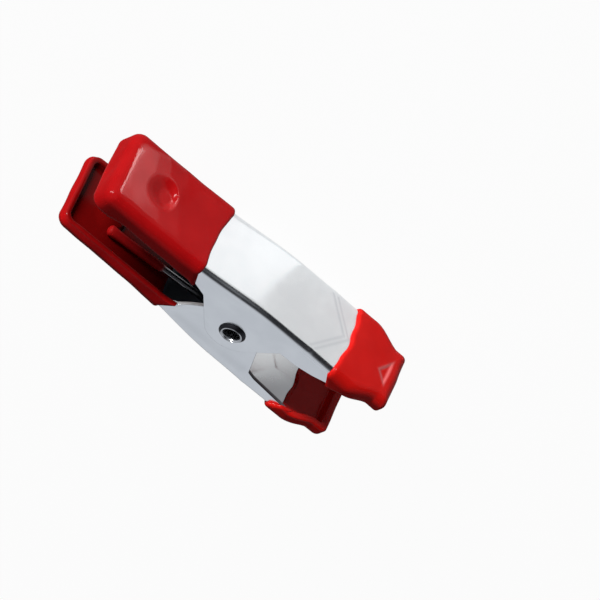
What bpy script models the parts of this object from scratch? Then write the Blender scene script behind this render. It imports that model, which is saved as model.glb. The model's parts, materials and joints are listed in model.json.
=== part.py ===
# Spring clamp: two pressed steel channel levers turn on a hollow rivet and are driven shut by a torsion
# spring. Dipped vinyl covers both handles and both jaws. Metres, +Z up. The clamp lies on its side: X runs
# from the handles to the jaws, Y is the opening direction, Z is the pivot axis. The pose has a gap of
# JAW_OPENING between the jaws. Shapes are worked out for the upper lever, with the pivot axis at X = Y = 0.
import math

import bmesh
import bpy
import numpy as np

for old in list(bpy.data.objects):
    bpy.data.objects.remove(old, do_unlink=True)

MM = 0.001

# Pressed levers
HANDLE_REACH = 53.8 * MM       # pivot to the handle end of the web
JAW_REACH = 41.4 * MM          # pivot to the jaw end of the web
CHANNEL_WIDTH = 22.6 * MM
SHEET = 1.1 * MM
HANDLE_DEPTH = 7.1 * MM        # web to flange edge along the handle
HANDLE_GAP = 7.6 * MM          # between the coated rims at the handle ends
HANDLE_SWELL = 1.0 * MM        # rise of the web from the handle end to the grip edge
HANDLE_CORNER = 1.4 * MM       # plan radius of the flat web at the handle end
HANDLE_CORNER_SHARE = 0.6      # share of the bend that rounds the corner further, the rest is square
HANDLE_DRAFT = math.radians(2.0)
JAW_OPENING = 21.6 * MM        # between the coated jaws
JAW_DEPTH = 4.1 * MM           # web to flange edge at the jaw end
JAW_CORNER = 0.5 * MM
JAW_CORNER_SHARE = 0.3
JAW_DRAFT = math.radians(4.0)
TONGUE = 1.0 * MM              # narrow stretch at the jaw end
NECK_RUN = 9.2 * MM            # over which the jaw draws in
NECK_IN = 3.2 * MM             # drawn in by this much on each side
CROWN_X = 12.0 * MM            # highest part of the web
CROWN_HEIGHT = 15.9 * MM
SHOULDER_HEIGHT = 15.7 * MM    # web above the pivot axis
CREASE_FOOT = 16.0 * MM        # the crease leaves the web edges here
CREASE_APEX = 24.0 * MM        # and meets itself here at mid width
CREASE_FALL = 0.07
CREASE_ROUND = 1.2 * MM
DIMPLE_INSET = 9.6 * MM        # handle end to the pressed dimple that stops the spring leg
DIMPLE_RADIUS = 5.0 * MM
DIMPLE_DEPTH = 1.1 * MM

# Ears round the pivot
EAR_RADIUS = 8.2 * MM
EAR_FOOT_BACK = 17.0 * MM
EAR_FOOT_FRONT = 14.4 * MM
THROAT_HEIGHT = 9.4 * MM       # flange edge above the pivot axis at the front foot
EAR_GAP = 0.3 * MM             # between the nested ears, and under the rivet's lips
EAR_CLEAR = 0.6 * MM           # round an outer ear, in the pocket that it sweeps
POCKET_RISE = 4.4 * MM         # the pocket's long ramps
POCKET_RUN = 6.0 * MM

# Dipped vinyl
COAT = 1.2 * MM                # how far the vinyl stands off the steel
COAT_INSIDE = 0.8 * MM         # and inside the channel, where it drains
COAT_GAP = 0.3 * MM
COAT_LIP = 0.55 * MM           # its height where it starts
COAT_LIP_RUN = 3.6 * MM        # over which it thickens
COAT_BEAD = 0.45 * MM          # rounding along the flange edges
BEND_INSIDE = 0.2 * MM         # bend radius left inside the coated channel
GRIP_EDGE = 21.4 * MM          # pivot to the start of the vinyl
GRIP_EDGE_BOW = 1.6 * MM
TIP_EDGE = 24.6 * MM
TIP_EDGE_BOW = 1.0 * MM

# Hollow rivet
RIVET_RADIUS = 2.9 * MM
RIVET_BORE = 2.35 * MM
RIVET_LIP = 3.9 * MM
RIVET_PROUD = 1.15 * MM        # lip above the outer ear
RIVET_FLARE = 0.35 * MM        # how far the mouth opens past the bore
PIVOT_CLEARANCE = 0.3 * MM

# Torsion spring
WIRE = 2.0 * MM
WHOLE_TURNS = 3                # besides the half turn from one leg to the other
COIL_GAP = 0.55 * MM           # between one turn and the next
COIL_CLEARANCE = 0.9 * MM      # between the coil and the rivet
LEG_CLEARANCE = 0.35 * MM      # between a leg and the vinyl it presses on
LEG_STOP = 1.2 * MM            # between a leg's end and the dimple

# Mesh density
COLUMNS = 9
LEAST_STEP = 0.3 * MM
PLAIN_STEPS = 3                # along a plain stretch of the web
DIMPLE_STEPS = 4
NECK_STEPS = 5
ARC_STEPS = 9
BEND_STEPS = 3
LEVER_WALL_STEPS = 5
COAT_WALL_STEPS = 2
CORNER_STEPS = 3
RING_SHARE = 0.05              # least share of a wall between two rings
RAMP_SHARE = 0.4               # most of a wall that lies above the pocket's ramp
LEG_STEPS = 7
NEIGHBOUR = 3                  # wire diameters along the wire that count as the same stretch
POINTS_PER_TURN = 9
RIVET_SIDES = 32
LIP_STEPS = 4
SHARP_ANGLE = math.radians(40.0)

# Sizes that follow from the ones above
HALF_WIDTH = CHANNEL_WIDTH / 2
BEND = SHEET + COAT_INSIDE + BEND_INSIDE
FLAT_HALF = HALF_WIDTH - BEND
HANDLE_WEB = HANDLE_GAP / 2 + COAT + HANDLE_DEPTH
JAW_EDGE = JAW_OPENING / 2 + COAT
JAW_WEB = JAW_EDGE + JAW_DEPTH
NECK_END = JAW_REACH - TONGUE
NECK_START = NECK_END - NECK_RUN
DIMPLE_X = DIMPLE_INSET - HANDLE_REACH
POCKET_DEPTH = SHEET + EAR_GAP
POCKET_LINE = EAR_RADIUS + EAR_CLEAR
EDGE_DROP = COAT - COAT_BEAD
HANDLE_OVERHANG = (HANDLE_DEPTH + EDGE_DROP - BEND) * math.tan(HANDLE_DRAFT) + BEND + COAT
JAW_OVERHANG = (JAW_DEPTH + EDGE_DROP - BEND) * math.tan(JAW_DRAFT) + BEND + COAT
HANDLE_TIP = HANDLE_REACH + HANDLE_OVERHANG
JAW_TIP = JAW_REACH + JAW_OVERHANG
PIVOT_X = (HANDLE_TIP - JAW_TIP) / 2
PIVOT_Z = HALF_WIDTH + COAT
COIL_RADIUS = RIVET_RADIUS + COIL_CLEARANCE + WIRE / 2
COIL_PITCH = WIRE + COIL_GAP

# Travel of the upper lever from this pose, until the jaws or the handle rims meet
CLOSING = 2 * math.atan2(JAW_OPENING / 2, JAW_TIP)
SQUEEZING = 2 * math.atan2(HANDLE_GAP / 2, HANDLE_TIP)


def ease(t):
    t = np.clip(t, 0.0, 1.0)
    return t * t * (3.0 - 2.0 * t)


def smooth_through(x, knots):
    # Cubic curve through a few knots, with the slopes of its chords
    xs, ys = np.array(knots).T
    slopes = np.gradient(ys, xs)
    k = np.clip(np.searchsorted(xs, x) - 1, 0, len(xs) - 2)
    span = xs[k + 1] - xs[k]
    t = (x - xs[k]) / span
    low = (1 + 2 * t) * (1 - t) ** 2 * ys[k] + t * (1 - t) ** 2 * span * slopes[k]
    high = t * t * (3 - 2 * t) * ys[k + 1] + t * t * (t - 1) * span * slopes[k + 1]
    return low + high


def web_height(x, z):
    # Outer face of the web: a crowned profile, a crease in a V across the jaw, and the dimple
    run = JAW_REACH - CREASE_APEX
    knots = [(-HANDLE_REACH, HANDLE_WEB), (-GRIP_EDGE, HANDLE_WEB + HANDLE_SWELL), (0.0, SHOULDER_HEIGHT),
             (CROWN_X, CROWN_HEIGHT), (JAW_REACH, JAW_WEB + CREASE_FALL * run)]
    crease = CREASE_APEX - (CREASE_APEX - CREASE_FOOT) * np.abs(z) / FLAT_HALF
    past = x - crease
    fall = CREASE_FALL * (past + np.sqrt(past ** 2 + CREASE_ROUND ** 2)) / 2
    sink = DIMPLE_DEPTH * (1 - ease(np.hypot(x - DIMPLE_X, z) / DIMPLE_RADIUS))
    return smooth_through(x, knots) - fall - sink


def tangent_angle(foot_x, foot_y, side):
    # Where a line from an ear's foot touches the ear's circle
    reach = math.hypot(foot_x, foot_y)
    return math.atan2(foot_y, foot_x) + side * math.acos(EAR_RADIUS / reach)


def handle_edge(x):
    return web_height(x, FLAT_HALF) - HANDLE_DEPTH


BACK_FOOT = (-EAR_FOOT_BACK, float(handle_edge(np.float64(-EAR_FOOT_BACK))))
FRONT_FOOT = (EAR_FOOT_FRONT, THROAT_HEIGHT)
BACK_ANGLE = tangent_angle(*BACK_FOOT, 1)
FRONT_ANGLE = tangent_angle(*FRONT_FOOT, -1)
BACK_TOUCH = EAR_RADIUS * math.cos(BACK_ANGLE)
FRONT_TOUCH = EAR_RADIUS * math.cos(FRONT_ANGLE)
# How far the crossing flanks of the two ears reach over the whole travel
POCKET_BACK = EAR_RADIUS / math.cos(BACK_ANGLE - math.pi + SQUEEZING / 2) + EAR_CLEAR
POCKET_FRONT = EAR_RADIUS / math.cos(-FRONT_ANGLE + CLOSING / 2) + EAR_CLEAR


def flange_edge(x):
    # Lower edge of the upper lever's flanges: handle strip, ear with straight flanks, jaw strip
    lobe = -np.sqrt(np.clip(EAR_RADIUS ** 2 - x ** 2, 0.0, None))
    flank_x = [-EAR_FOOT_BACK, BACK_TOUCH, FRONT_TOUCH, EAR_FOOT_FRONT, TIP_EDGE, NECK_START]
    flank_y = [BACK_FOOT[1], EAR_RADIUS * math.sin(BACK_ANGLE), EAR_RADIUS * math.sin(FRONT_ANGLE),
               THROAT_HEIGHT, JAW_EDGE, JAW_EDGE]
    outline = np.interp(x, flank_x, flank_y)
    outline = np.where((x > BACK_TOUCH) & (x < FRONT_TOUCH), lobe, outline)
    return np.where(x < -EAR_FOOT_BACK, handle_edge(x), outline)


def corner_run(radius):
    # Stations round a plan corner, from the end of the web inwards, and how far the side is drawn in there
    turn = np.linspace(0.0, math.pi / 2, CORNER_STEPS + 1)
    return radius * (1 - np.cos(turn)), radius * (1 - np.sin(turn))


def flat_half(x):
    return FLAT_HALF - NECK_IN * ease((x - NECK_START) / (NECK_END - NECK_START))


def steps_between(start, end, steps):
    # Even steps that leave out the start
    return np.linspace(start, end, steps + 1)[1:]


def handle_stations():
    # X of each station from the handle end to the grip edge, and the half width of the flat web there
    run, inset = corner_run(HANDLE_CORNER)
    start = -HANDLE_REACH + HANDLE_CORNER
    back, front = DIMPLE_X - DIMPLE_RADIUS, DIMPLE_X + DIMPLE_RADIUS
    lip = -GRIP_EDGE - COAT_LIP_RUN - GRIP_EDGE_BOW
    x = np.concatenate([-HANDLE_REACH + run, steps_between(start, back, PLAIN_STEPS - 1),
                        steps_between(back, front, DIMPLE_STEPS), steps_between(front, lip, PLAIN_STEPS),
                        [-GRIP_EDGE]])
    inset = np.pad(inset, (0, len(x) - len(inset)))
    return x, flat_half(x) - inset


def jaw_stations():
    # The same from the jaw end back to the start of the vinyl
    run, inset = corner_run(JAW_CORNER)
    lip = TIP_EDGE + COAT_LIP_RUN + TIP_EDGE_BOW
    x = np.concatenate([JAW_REACH - run, [NECK_END], steps_between(NECK_END, NECK_START, NECK_STEPS),
                        steps_between(NECK_START, lip, PLAIN_STEPS - 1), [TIP_EDGE]])
    inset = np.pad(inset, (0, len(x) - len(inset)))
    return x, flat_half(x) - inset


def lever_stations():
    # The whole lever, with stations at the ear's corners and along its arc
    handle_x, handle_half = handle_stations()
    jaw_x, jaw_half = jaw_stations()
    arc = EAR_RADIUS * np.cos(np.linspace(BACK_ANGLE, FRONT_ANGLE + math.tau, ARC_STEPS + 1))
    ramps = [-POCKET_BACK - POCKET_RUN, -POCKET_BACK, POCKET_FRONT, POCKET_FRONT + POCKET_RUN]
    back = steps_between(-GRIP_EDGE, -EAR_FOOT_BACK, PLAIN_STEPS - 1)
    front = steps_between(TIP_EDGE, EAR_FOOT_FRONT, PLAIN_STEPS + 1)
    middle = np.sort(np.concatenate([back, arc, ramps, front]))
    middle = middle[np.diff(middle, prepend=-GRIP_EDGE) > LEAST_STEP]
    x = np.concatenate([handle_x, middle, jaw_x[::-1]])
    return x, np.concatenate([handle_half, flat_half(middle), jaw_half[::-1]])


def outline_path(stations, closed):
    # Grid places round the web: along one side, across the end, back along the other side
    near = [(i, COLUMNS - 1) for i in range(stations - 1, -1, -1)]
    end = [(0, j) for j in range(COLUMNS - 2, 0, -1)]
    far = [(i, 0) for i in range(stations)]
    shut = [(stations - 1, j) for j in range(1, COLUMNS - 1)] if closed else []
    return near + end + far + shut


def plan_normals(points, closed):
    # Outward unit normals of a plan outline given as X, Z points
    step = np.roll(points, -1, axis=0) - points
    if not closed:
        step[-1] = step[-2]
    step /= np.linalg.norm(step, axis=1)[:, None]
    before = np.roll(step, 1, axis=0)
    if not closed:
        before[0] = step[0]
    normal = np.stack([step[:, 1], -step[:, 0]], axis=1) + np.stack([before[:, 1], -before[:, 0]], axis=1)
    normal /= np.linalg.norm(normal, axis=1)[:, None]
    outward = np.sign(np.sum(normal * (points - points.mean(axis=0))))
    return normal * outward


def pocket(x, y):
    # How far a nested flange steps inwards, so that the other lever's ear lies flush outside it
    back = ease((x + POCKET_BACK + POCKET_RUN) / POCKET_RUN)
    front = ease((POCKET_FRONT + POCKET_RUN - x) / POCKET_RUN)
    return POCKET_DEPTH * back * front * ease((POCKET_LINE + POCKET_RISE - y) / POCKET_RISE)


def wall_shares(top, height, steps):
    # Where the rings lie down a wall: two along the ramp of the pocket, the rest spaced evenly
    ramp = np.clip((top - POCKET_LINE - POCKET_RISE) / height, RING_SHARE, RAMP_SHARE)
    floor = np.clip((top - POCKET_LINE) / height, ramp + RING_SHARE, (1 + RAMP_SHARE) / 2)
    rest = steps_between(0.0, 1.0, steps - 2)
    return [ramp, floor] + [floor + (1 - floor) * share for share in rest]


def pressing(x, half, offset, drop, closed, nested=False, bow=0.0):
    # One skin of a pressed channel, offset from its outer face: the web as a grid of stations and columns,
    # and round its outline the rings of the bend and the walls. The offset may vary along the stations.
    across = np.linspace(-1.0, 1.0, COLUMNS)
    offset = np.broadcast_to(offset, x.shape)
    bowed = np.zeros_like(x)
    bowed[-1] = bow
    grid_x = x[:, None] + bowed[:, None] * (1 - across[None, :] ** 2)
    grid_z = half[:, None] * across[None, :]
    grid_y = web_height(grid_x, grid_z)
    web = np.stack([grid_x, grid_y + offset[:, None], grid_z], axis=2)

    path = outline_path(len(x), closed)
    rows, columns = np.array(path).T
    px, py, pz = grid_x[rows, columns], grid_y[rows, columns], grid_z[rows, columns]
    normal = plan_normals(np.stack([px, pz], axis=1), closed)
    out = normal.copy()
    corner = (px < -HANDLE_REACH + HANDLE_CORNER + LEAST_STEP) | (px > JAW_REACH - JAW_CORNER - LEAST_STEP)
    corner &= (columns == 0) | (columns == COLUMNS - 1)
    follow = np.where(px < 0, HANDLE_CORNER_SHARE, JAW_CORNER_SHARE)[corner, None]
    square = np.stack([np.sign(px), np.sign(pz)], axis=1)[corner]
    out[corner] = follow * normal[corner] + (1 - follow) * square
    radius = BEND + offset[rows]
    draft = np.where(px < 0, math.tan(HANDLE_DRAFT), math.tan(JAW_DRAFT))

    rings = []
    for turn in steps_between(0.0, math.pi / 2, BEND_STEPS):
        reach = radius * math.sin(turn)
        rings.append(np.stack([px + out[:, 0] * reach, py - BEND + radius * math.cos(turn),
                               pz + out[:, 1] * reach], axis=1))
    top = py - BEND
    height = top - flange_edge(px) + drop
    shares = steps_between(0.0, 1.0, COAT_WALL_STEPS)
    if closed:
        shares = wall_shares(top, height, LEVER_WALL_STEPS)
    for share in shares:
        fall = height * share
        rings.append(np.stack([px + out[:, 0] * radius + normal[:, 0] * draft * fall, top - fall,
                               pz + out[:, 1] * radius], axis=1))
    rings = np.stack(rings)
    if nested:
        rings[..., 2] -= np.sign(rings[..., 2]) * pocket(rings[..., 0], rings[..., 1])
    return web, rings, path


def add_skin(bm, web, rings, path, closed):
    # Puts a skin's vertices and faces into a mesh. Gives the ring along its flange edge, and its cut line.
    grid = [[bm.verts.new(point) for point in row] for row in web]
    for i in range(len(grid) - 1):
        for j in range(COLUMNS - 1):
            bm.faces.new((grid[i][j], grid[i + 1][j], grid[i + 1][j + 1], grid[i][j + 1]))
    hoops = [[grid[i][j] for i, j in path]]
    hoops += [[bm.verts.new(point) for point in ring] for ring in rings]
    for upper, lower in zip(hoops, hoops[1:]):
        sew(bm, upper, lower, closed)
    cut = [hoop[0] for hoop in reversed(hoops)] + grid[-1][-2:0:-1] + [hoop[-1] for hoop in hoops]
    return hoops[-1], cut


def sew(bm, first, second, closed):
    # A strip of faces between two rows of vertices
    count = len(first) if closed else len(first) - 1
    for k in range(count):
        n = (k + 1) % len(first)
        bm.faces.new((first[k], first[n], second[n], second[k]))


def finish(name, bm, material, parent):
    # A shaded object under its parent, with its faces pointing out
    bmesh.ops.recalc_face_normals(bm, faces=bm.faces)
    mesh = bpy.data.meshes.new(name)
    bm.to_mesh(mesh)
    bm.free()
    mesh.shade_smooth()
    mesh.set_sharp_from_angle(angle=SHARP_ANGLE)
    mesh.materials.append(material)
    item = bpy.data.objects.new(name, mesh)
    item.parent = parent
    bpy.context.collection.objects.link(item)
    return item


def flip(bm, lower):
    # The lower lever and its vinyl mirror the upper ones
    if lower:
        for vert in bm.verts:
            vert.co.y = -vert.co.y


def lever(name, material, parent, lower):
    # Pressed channel: outer and inner skin sewn together along the flange edges
    x, half = lever_stations()
    bm = bmesh.new()
    edges = []
    for offset in (0.0, -SHEET):
        web, rings, path = pressing(x, half, offset, 0.0, True, nested=lower)
        edges.append(add_skin(bm, web, rings, path, True)[0])
    sew(bm, edges[0], edges[1], True)
    flip(bm, lower)
    item = finish(name, bm, material, parent)
    hole = item.modifiers.new("pivot_hole", 'BOOLEAN')
    hole.operation = 'DIFFERENCE'
    hole.solver = 'EXACT'
    hole.object = pivot_cutter
    return item


def coat(name, material, parent, lower, stations, bow):
    # Vinyl sock over one end of a lever: outside and inside skins round the flange edge, and the slot that
    # the sheet fills, joined by a rim where the vinyl starts
    x, half = stations
    thick = np.full_like(x, COAT)
    thin = np.full_like(x, COAT_INSIDE)
    thick[-1] = COAT_LIP
    thin[-1] = COAT_LIP
    bm = bmesh.new()

    def skin(offset, drop):
        web, rings, path = pressing(x, half, offset, drop, False, bow=bow)
        return add_skin(bm, web, rings, path, False)

    outer_edge, outer_cut = skin(thick, EDGE_DROP)
    inner_edge, inner_cut = skin(-SHEET - thin, EDGE_DROP)
    slot_out_edge, slot_out_cut = skin(COAT_GAP, COAT_GAP)
    slot_in_edge, slot_in_cut = skin(-SHEET - COAT_GAP, COAT_GAP)
    bead = []
    for a, b in zip(outer_edge, inner_edge):
        middle = (a.co + b.co) / 2
        middle.y -= COAT_BEAD
        bead.append(bm.verts.new(middle))
    sew(bm, outer_edge, bead, False)
    sew(bm, bead, inner_edge, False)
    sew(bm, slot_out_edge, slot_in_edge, False)
    sew(bm, outer_cut, slot_out_cut, False)
    sew(bm, inner_cut, slot_in_cut, False)
    for k in (0, -1):
        bm.faces.new((outer_edge[k], bead[k], inner_edge[k], slot_in_edge[k], slot_out_edge[k]))
    flip(bm, lower)
    return finish(name, bm, material, parent)


def turned(name, profile, material, parent):
    # Closed profile of radius, Z points spun round the pivot axis
    bm = bmesh.new()
    loop = [bm.verts.new((r, 0.0, z)) for r, z in profile]
    edges = [bm.edges.new((a, b)) for a, b in zip(loop, loop[1:] + loop[:1])]
    bmesh.ops.spin(bm, geom=loop + edges, cent=(0, 0, 0), axis=(0, 0, 1), angle=math.tau,
                   steps=RIVET_SIDES, use_merge=True, use_duplicate=False)
    bmesh.ops.remove_doubles(bm, verts=bm.verts, dist=1e-7)
    return finish(name, bm, material, parent)


def rivet_profile():
    # Half section of the hollow rivet: straight barrel, a rolled lip at each end
    seat = HALF_WIDTH + EAR_GAP
    roll = (RIVET_PROUD - EAR_GAP) / 2
    mouth = RIVET_BORE + RIVET_FLARE
    turn = np.linspace(-math.pi / 2, math.pi / 2, LIP_STEPS + 1)
    lip = [(RIVET_LIP - roll + roll * math.cos(a), seat + roll + roll * math.sin(a)) for a in turn]
    upper = [(RIVET_RADIUS, seat)] + lip
    upper += [(mouth + roll, seat + 2 * roll), (mouth, seat + roll), (RIVET_BORE, seat)]
    lower = [(r, -z) for r, z in reversed(upper)]
    return upper + lower


def spring_points():
    # One wire: leg under the lower handle, coil round the rivet, leg under the upper handle
    leg_end = DIMPLE_X + DIMPLE_RADIUS + LEG_STOP
    inside = float(web_height(np.float64(leg_end), np.float64(0.0))) - SHEET - COAT_INSIDE
    tip = np.array([leg_end, inside - LEG_CLEARANCE - WIRE / 2])
    reach = np.hypot(*tip)
    touch = math.atan2(tip[1], tip[0]) - math.acos(COIL_RADIUS / reach)
    start = -touch
    sweep = 2 * touch + math.tau * WHOLE_TURNS
    steps = round(sweep / math.tau * POINTS_PER_TURN)
    turn = np.linspace(0.0, sweep, steps + 1)
    height = COIL_PITCH * sweep / math.tau
    coil = np.stack([COIL_RADIUS * np.cos(start + turn), COIL_RADIUS * np.sin(start + turn),
                     height * (0.5 - turn / sweep)], axis=1)
    share = np.linspace(1.0, 0.0, LEG_STEPS + 1)[:-1, None]
    low_tip = np.array([tip[0], -tip[1], height / 2])
    high_tip = np.array([tip[0], tip[1], -height / 2])
    low_leg = coil[0] + (low_tip - coil[0]) * share
    high_leg = coil[-1] + (high_tip - coil[-1]) * share[::-1]
    return np.concatenate([low_leg, coil, high_leg])


def least_gap(points, diameter):
    # Least distance between stretches of the wire that aren't neighbours, less the wire itself
    share = np.linspace(0.0, 1.0, LEG_STEPS + 1)[:-1, None]
    fine = np.concatenate([a + (b - a) * share for a, b in zip(points, points[1:])])
    along = np.concatenate([[0.0], np.cumsum(np.linalg.norm(np.diff(fine, axis=0), axis=1))])
    apart = np.linalg.norm(fine[:, None] - fine[None, :], axis=2)
    apart[np.abs(along[:, None] - along[None, :]) < NEIGHBOUR * diameter] = np.inf
    return apart.min() - diameter


def spring(name, material, parent):
    points = spring_points()
    curve = bpy.data.curves.new(name, 'CURVE')
    curve.dimensions = '3D'
    curve.bevel_depth = WIRE / 2
    curve.bevel_resolution = 1
    curve.use_fill_caps = True
    line = curve.splines.new('POLY')
    line.points.add(len(points) - 1)
    for place, point in zip(line.points, points):
        place.co = (*point, 1.0)
    curve.materials.append(material)
    item = bpy.data.objects.new(name, curve)
    item.parent = parent
    bpy.context.collection.objects.link(item)
    print(f"{name}: least gap to itself {least_gap(points, WIRE) / MM:.2f} mm")
    return item


def finish_of(name, colour, roughness, metallic):
    material = bpy.data.materials.new(name)
    material.use_nodes = True
    shader = material.node_tree.nodes["Principled BSDF"]
    shader.inputs["Base Color"].default_value = (*colour, 1.0)
    shader.inputs["Roughness"].default_value = roughness
    shader.inputs["Metallic"].default_value = metallic
    return material


def axis_empty(name):
    empty = bpy.data.objects.new(name, None)
    empty.location = (PIVOT_X, 0.0, PIVOT_Z)
    bpy.context.collection.objects.link(empty)
    return empty


# Each lever hangs on an empty that lies on the pivot axis
lower_axis = axis_empty("lower_axis")
upper_axis = axis_empty("upper_axis")

cut_mesh = bmesh.new()
bmesh.ops.create_cone(cut_mesh, cap_ends=True, segments=RIVET_SIDES, radius1=RIVET_RADIUS + PIVOT_CLEARANCE,
                      radius2=RIVET_RADIUS + PIVOT_CLEARANCE, depth=2 * CHANNEL_WIDTH)
pivot_cutter = finish("pivot_cutter", cut_mesh, finish_of("cutter", (0.5, 0.5, 0.5), 0.5, 0.0), lower_axis)
pivot_cutter.hide_render = True
pivot_cutter.display_type = 'WIRE'

upper_lever = lever("upper_lever", finish_of("plated_steel_upper", (0.80, 0.82, 0.84), 0.22, 1.0),
                    upper_axis, lower=False)
lower_lever = lever("lower_lever", finish_of("plated_steel_lower", (0.80, 0.82, 0.84), 0.22, 1.0),
                    lower_axis, lower=True)
upper_grip = coat("upper_grip", finish_of("red_vinyl_upper_grip", (0.42, 0.009, 0.011), 0.25, 0.0),
                  upper_axis, False, handle_stations(), -GRIP_EDGE_BOW)
lower_grip = coat("lower_grip", finish_of("red_vinyl_lower_grip", (0.42, 0.009, 0.011), 0.25, 0.0),
                  lower_axis, True, handle_stations(), -GRIP_EDGE_BOW)
upper_jaw_tip = coat("upper_jaw_tip", finish_of("red_vinyl_upper_tip", (0.50, 0.010, 0.010), 0.25, 0.0),
                     upper_axis, False, jaw_stations(), TIP_EDGE_BOW)
lower_jaw_tip = coat("lower_jaw_tip", finish_of("red_vinyl_lower_tip", (0.50, 0.010, 0.010), 0.25, 0.0),
                     lower_axis, True, jaw_stations(), TIP_EDGE_BOW)
pivot_rivet = turned("pivot_rivet", rivet_profile(),
                     finish_of("plated_rivet", (0.62, 0.64, 0.66), 0.28, 1.0), lower_axis)
torsion_spring = spring("torsion_spring", finish_of("spring_steel", (0.30, 0.31, 0.33), 0.30, 1.0),
                        lower_axis)
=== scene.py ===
# A spring clamp lying on its side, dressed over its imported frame: pressed steel levers, dipped vinyl,
# a hollow rivet and a wound spring. Shapes are worked out in millimetres for the upper half, with the
# pivot axis at X = Y = 0. The lower half mirrors it in Y.
import json
import math

import bmesh
import bpy
import numpy as np
from mathutils import Matrix


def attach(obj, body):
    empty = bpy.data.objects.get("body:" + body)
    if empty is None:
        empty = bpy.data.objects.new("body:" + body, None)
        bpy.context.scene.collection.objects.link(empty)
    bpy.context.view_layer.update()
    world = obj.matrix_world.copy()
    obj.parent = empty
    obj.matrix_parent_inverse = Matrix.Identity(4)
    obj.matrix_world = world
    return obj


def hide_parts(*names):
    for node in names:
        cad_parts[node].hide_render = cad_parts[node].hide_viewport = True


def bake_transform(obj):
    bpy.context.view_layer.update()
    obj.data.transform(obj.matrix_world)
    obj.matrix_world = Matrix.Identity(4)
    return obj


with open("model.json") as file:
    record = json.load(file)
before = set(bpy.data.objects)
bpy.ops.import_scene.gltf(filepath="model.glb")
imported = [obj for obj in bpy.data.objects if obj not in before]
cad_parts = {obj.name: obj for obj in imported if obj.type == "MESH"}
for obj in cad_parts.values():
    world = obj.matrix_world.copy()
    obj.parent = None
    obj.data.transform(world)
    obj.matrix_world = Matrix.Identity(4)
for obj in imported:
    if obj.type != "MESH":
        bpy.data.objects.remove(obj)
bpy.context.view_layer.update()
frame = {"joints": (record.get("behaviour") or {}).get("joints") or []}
mm = 0.001
pivot = np.array(frame["joints"][0]["pos_m"])
print("frame loaded, pivot at", pivot.tolist())

# Pressed shape that the levers and their vinyl share
press = {
    "handleReach": 53.8, "jawReach": 41.4, "halfWidth": 11.3, "sheet": 1.1, "bend": 2.1, "bendSteps": 8,
    "handleWeb": 12.1, "handleSwell": 1.0, "handleCorner": 1.4, "handleShare": 0.6, "handleDraft": 2.0,
    "jawWeb": 16.1, "jawCorner": 0.5, "jawShare": 0.3, "jawDraft": 4.0, "cornerReach": 0.3, "cornerSteps": 7,
    "neckStart": 31.2, "neckEnd": 40.4, "neckIn": 3.2,
    "swellX": 21.4, "shoulderHeight": 15.7, "crownX": 12.0, "crownHeight": 15.9,
    "creaseFoot": 16.0, "creaseApex": 24.0, "creaseFall": 0.07, "creaseRound": 0.5,
    "creaseBead": 0.09, "creaseBeadWidth": 0.7,
    "dimpleX": -43.2, "dimpleRadius": 5.6, "dimpleCore": 1.5, "dimpleShift": 2.5, "dimpleDepth": 1.2,
    "earRadius": 8.2, "endRiseFrom": 3.8, "endRiseRun": 3.0, "endRisePower": 4, "columns": 41,
}
# Lower edges of each lever's flanges as X and Y: along the handle, the feet of the ear, along the jaw. At the
# handle's end the edge rises by endRise towards the corners.
rims = {
    "upper": {"handle": ((-53.8, 5.1), (-53.0, 5.15), (-52.2, 5.35), (-51.2, 5.8), (-50.0, 6.4),
                         (-48.6, 6.95), (-47.0, 7.3), (-45.0, 7.4), (-22.0, 7.2)),
              "back": (-15.0, 4.7), "front": (12.5, 6.6), "endRise": 1.0,
              "jaw": ((18.0, 6.9), (23.2, 8.2), (27.5, 10.0), (31.5, 12.0))},
    "lower": {"handle": ((-53.8, 8.7), (-48.0, 8.7), (-20.0, 8.4)),
              "back": (-15.0, 7.4), "front": (14.5, 10.0), "endRise": 0.3,
              "jaw": ((27.5, 11.2), (31.5, 12.0))},
}
flat = press["halfWidth"] - press["bend"]  # half width of the flat web


def ease(t):
    # Smooth step from 0 to 1
    t = np.clip(t, 0.0, 1.0)
    return t * t * (3.0 - 2.0 * t)


def curveThrough(x, knots):
    # Cubic through a few knots, with the slopes of its chords
    xs, ys = np.array(knots).T
    slopes = np.gradient(ys, xs)
    k = np.clip(np.searchsorted(xs, x) - 1, 0, len(xs) - 2)
    span = xs[k + 1] - xs[k]
    t = (x - xs[k]) / span
    low = (1 + 2 * t) * (1 - t) ** 2 * ys[k] + t * (1 - t) ** 2 * span * slopes[k]
    return low + t * t * (3 - 2 * t) * ys[k + 1] + t * t * (t - 1) * span * slopes[k + 1]


def pastCrease(x, z):
    # How far past the V crease, along X
    p = press
    return x - p["creaseApex"] + (p["creaseApex"] - p["creaseFoot"]) * np.abs(z) / flat


def dishShare(x, z):
    # Share of the way into the dimple: circles that shrink to a core while their centres move to the pivot
    p = press
    shrink, shift = p["dimpleRadius"] - p["dimpleCore"], p["dimpleShift"]
    outside = x * x + z * z - p["dimpleRadius"] ** 2
    b = 2 * (p["dimpleRadius"] * shrink - x * shift)
    root = np.sqrt(np.clip(b * b - 4 * (shift ** 2 - shrink ** 2) * outside, 0.0, None))
    return np.where(outside < 0, -2 * outside / (b + root), 0.0)


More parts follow.
